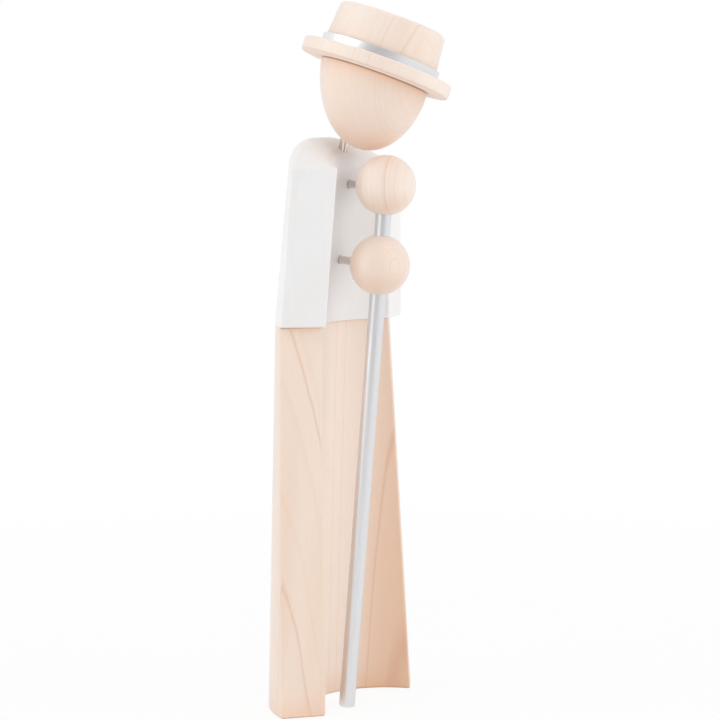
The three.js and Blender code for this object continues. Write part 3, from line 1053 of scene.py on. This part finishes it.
def make_bar(name, node, line, radius, chamfer, material):
    """Round bar with eased ends along a line."""
    start, end, carrier = line
    length = (end - start).length
    profile = rounded([(0, 0, 0), (radius, 0, chamfer), (radius, length, chamfer), (0, length, 0)])
    made = new_object(name, *turned(profile), carrier @ along_line(start, end))
    dress(made, material, "figure", node)


def make_metal():
    """The three steel pins and the aluminium staff."""
    for node, line in PINS.items():
        start, end, carrier = line
        axis = tuple((carrier.to_3x3() @ (end - start)).normalized())
        steel = satin_metal(f"steel_{node}", axis, STEEL, STEEL_LINE, PIN_ROUGHNESS)
        make_bar(f"{node}_rod", node, line, PIN_RADIUS, PIN_CHAMFER, steel)
    line = (STAFF_FOOT, STAFF_TOP, RING)
    colors = (ALUMINIUM, ALUMINIUM_LINE)
    aluminium = satin_metal("aluminium_rod", tuple(STAFF_AXIS), *colors, STAFF_ROUGHNESS)
    make_bar("staff_rod", "staff", line, STAFF_RADIUS, STAFF_CHAMFER, aluminium)


def dress_hidden():
    """The dowels and the peg keep their CAD shape and get their wood."""
    wood = dowel_wood()
    for node in ("body_dowel_left", "body_dowel_right", "hat_peg"):
        hidden = frame["nodes"][node]
        hidden.data.materials.clear()
        hidden.data.materials.append(wood)


# Stage, light and camera

FLOOR_SIZE = 8.0
FLOOR_ROUGHNESS = 0.9
FLOOR_WHITE = 0.9
FLOOR_FADE = (0.2, 0.8)
PAPER_CLOUD_SIZE = 0.4
PAPER_CLOUD_DETAIL = 1.0
TENT_LEVEL = 0.45
TENT_TOP_LEVEL = 0.98
TENT_TOP_RANGE = (0.2, 1.0)
TENT_FRONT_LEVEL = 0.74
TENT_FRONT_RANGE = (0.60, 0.98)
MIRRORED_FRONT_LEVEL = 0.52
LAMP_DISTANCE = 1.8

# Lamps: name, azimuth and elevation in degrees, size in metres, power in watts, shown in metal
LAMPS = (
    ("left_lamp", -125, 25, 1.4, 8.0, True),
    ("right_lamp", 28, 12, 1.8, 13.5, False),
    ("fill_lamp", -85, 20, 1.4, 1.6, False),
)


def make_floor():
    """White paper that keeps the figure's shadow and turns into the white background."""
    half = FLOOR_SIZE / 2
    corners = [(-half, -half, 0), (half, -half, 0), (half, half, 0), (-half, half, 0)]
    floor = new_object("floor", corners, [[0, 1, 2, 3]], Matrix())
    g = Surface("white_floor")
    cloud = g.noise(g.coordinates(), PAPER_CLOUD_SIZE, PAPER_CLOUD_DETAIL)
    g.set(base_color=g.mix(cloud, PAPER, PAPER_CLOUD), roughness=FLOOR_ROUGHNESS)
    rays = g.node("ShaderNodeLightPath").outputs
    seen = g.math("MAXIMUM", rays["Is Camera Ray"], rays["Is Glossy Ray"])
    seen = g.math("MAXIMUM", seen, rays["Is Transmission Ray"])
    away = g.vector("LENGTH", g.coordinates())
    factor = g.math("MULTIPLY", seen, g.smooth(away, *FLOOR_FADE, FLOOR_WHITE, 1.0))
    white = g.node("ShaderNodeEmission")
    blend = g.mix_shaders(factor, g.shader.outputs[0], white.outputs[0])
    g.put(g.output.inputs[0], blend)
    floor.data.materials.append(g.material)


def make_world():
    """White tent, brightest at the top and behind the camera.

    The background is white, also in the metal, which shows a greyer front."""
    world = bpy.data.worlds.new("tent")
    bpy.context.scene.world = world
    world.use_nodes = True
    g = Graph(world.node_tree)
    direction = g.coordinates("Generated")
    towards = g.vector("DOT_PRODUCT", direction, tuple(TO_CAMERA))
    upwards = g.vector("DOT_PRODUCT", direction, UPRIGHT)
    level = g.smooth(upwards, *TENT_TOP_RANGE, TENT_LEVEL, TENT_TOP_LEVEL)
    front = g.smooth(towards, *TENT_FRONT_RANGE, 0.0, TENT_FRONT_LEVEL - TENT_LEVEL)
    level = g.math("ADD", level, front)
    mirrored = g.smooth(towards, *TENT_FRONT_RANGE, 1.0, MIRRORED_FRONT_LEVEL)
    rays = g.node("ShaderNodeLightPath").outputs
    seen = g.math("MAXIMUM", rays["Is Camera Ray"], rays["Is Transmission Ray"])
    change = g.math("SUBTRACT", mirrored, level)
    level = g.math("MULTIPLY_ADD", rays["Is Glossy Ray"], change, level)
    tent = g.fill(g.node("ShaderNodeBackground"), {"Color": WHITE, "Strength": level})
    white = g.fill(g.node("ShaderNodeBackground"), {"Color": WHITE})
    output = g.node("ShaderNodeOutputWorld")
    g.put(output.inputs[0], g.mix_shaders(seen, tent.outputs[0], white.outputs[0]))


def looking_from(spot, back):
    """Frame at a spot whose Z points back, so that a lamp or camera there looks the other way."""
    return Matrix.Translation(spot) @ back.to_track_quat("Z", "Y").to_matrix().to_4x4()


def make_light(name, azimuth, elevation, size, power, mirrored):
    """Soft square lamp aimed at the figure's middle; azimuth 0 is in front and 90 to its left.

    A lamp that isn't mirrored stands behind the tent's cloth: metal shows the even tent there."""
    aim = Vector((0, 0, CAD_BOX[1].z / 2))
    a, e = math.radians(azimuth), math.radians(elevation)
    back = Vector((math.sin(a) * math.cos(e), -math.cos(a) * math.cos(e), math.sin(e)))
    lamp = bpy.data.lights.new(name, "AREA")
    lamp.size = size
    lamp.energy = power
    made = bpy.data.objects.new(name, lamp)
    made.visible_glossy = mirrored
    made.matrix_world = looking_from(aim + back * LAMP_DISTANCE, back)
    bpy.context.scene.collection.objects.link(made)


def make_camera():
    data = bpy.data.cameras.new("camera")
    data.sensor_width = SENSOR_WIDTH
    data.lens = LENS
    camera = bpy.data.objects.new("camera", data)
    spot = TO_CAMERA * CAMERA_DISTANCE - TO_RIGHT * CAMERA_SIDESTEP + UP * CAMERA_HEIGHT
    back = TO_CAMERA * math.cos(CAMERA_PITCH) + UP * math.sin(CAMERA_PITCH)
    camera.matrix_world = RING @ looking_from(spot, back)
    bpy.context.scene.collection.objects.link(camera)
    bpy.context.scene.camera = camera


# The whole scene

make_camera()
make_robe()
make_jacket()
make_head()
make_hat()
make_hat_band()
make_hand("upper_hand_ball", UPPER_HAND, UPPER_PIN, False, UPPER_CUT)
make_hand("lower_hand_ball", LOWER_HAND, LOWER_PIN, True, LOWER_CUT)
make_metal()
dress_hidden()
make_floor()
make_world()
for lamp_values in LAMPS:
    make_light(*lamp_values)
bpy.context.scene.view_settings.view_transform = "Standard"
